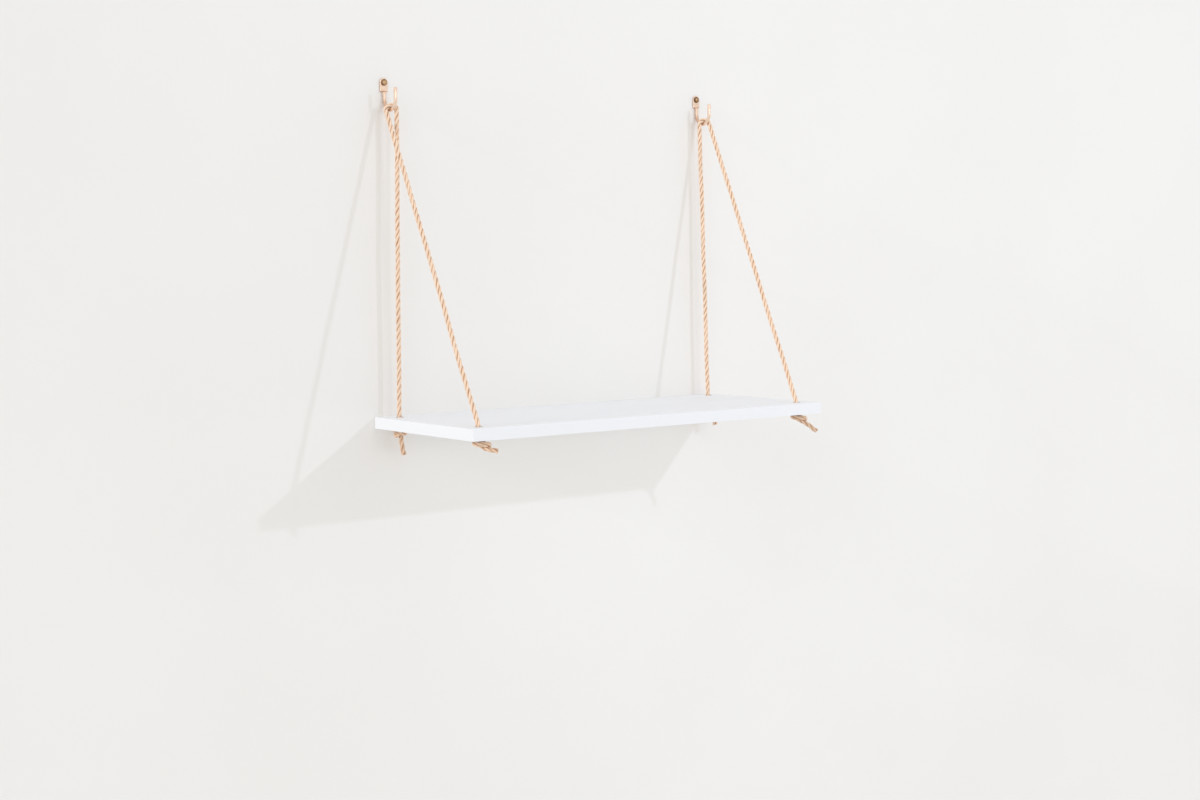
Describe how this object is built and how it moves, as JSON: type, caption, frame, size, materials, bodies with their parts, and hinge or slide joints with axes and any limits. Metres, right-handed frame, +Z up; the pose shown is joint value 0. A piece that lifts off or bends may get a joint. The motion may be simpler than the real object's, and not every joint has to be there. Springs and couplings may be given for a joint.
{
  "type": "hanging rope shelf",
  "caption": "Flat white board shelf hung on ropes that drape over copper wire wall hooks and end in knots under the board.",
  "frame": {"origin": "on the wall's face, midway between the two hook screws at their height", "axes": "+X along the board, +Y into the wall so that the shelf stands out along -Y, +Z up"},
  "size_m": [0.6, 0.2803, 0.515],
  "materials": {
    "board": "white painted, satin",
    "hook": "copper plated, polished",
    "screw": "antiqued, satin",
    "plug": "moulded nylon",
    "rope": "three-strand twisted natural fibre"
  },
  "bodies": {
    "wall_fixings": {"hook_left": "hook", "hook_right": "hook", "hook_screw_left": "screw", "hook_screw_right": "screw", "wall_plug_left": "plug", "wall_plug_right": "plug"},
    "hook_bights": {"rope_left_bight": "rope", "rope_right_bight": "rope"},
    "left_runs": {"rope_left_back_run": "rope", "rope_left_front_run": "rope"},
    "right_runs": {"rope_right_back_run": "rope", "rope_right_front_run": "rope"},
    "hung_board": {"board": "board", "knot_left_back": "rope", "knot_left_front": "rope", "knot_right_back": "rope", "knot_right_front": "rope"}
  },
  "joints": [
    {"name": "shelf_swing", "type": "hinge", "parent": "wall_fixings", "child": "hook_bights", "pos_m": [0, -0.01725, -0.0235], "axis": [-1, 0, 0], "range_deg": [0, 30]},
    {"name": "left_sway", "type": "hinge", "parent": "hook_bights", "child": "left_runs", "pos_m": [-0.275, -0.01725, -0.03825], "axis": [0, 1, 0], "range_deg": [-5, 5]},
    {"name": "right_sway", "type": "hinge", "parent": "hook_bights", "child": "right_runs", "pos_m": [0.275, -0.01725, -0.03825], "axis": [0, 1, 0], "range_deg": [-5, 5]},
    {"name": "board_level", "type": "hinge", "parent": "left_runs", "child": "hung_board", "pos_m": [-0.275, -0.125, -0.4535], "axis": [0, 1, 0], "range_deg": [-5, 5]}
  ],
  "couplings": [
    {"joint": "right_sway", "follows": "left_sway", "ratio": 1},
    {"joint": "board_level", "follows": "left_sway", "ratio": -1}
  ]
}
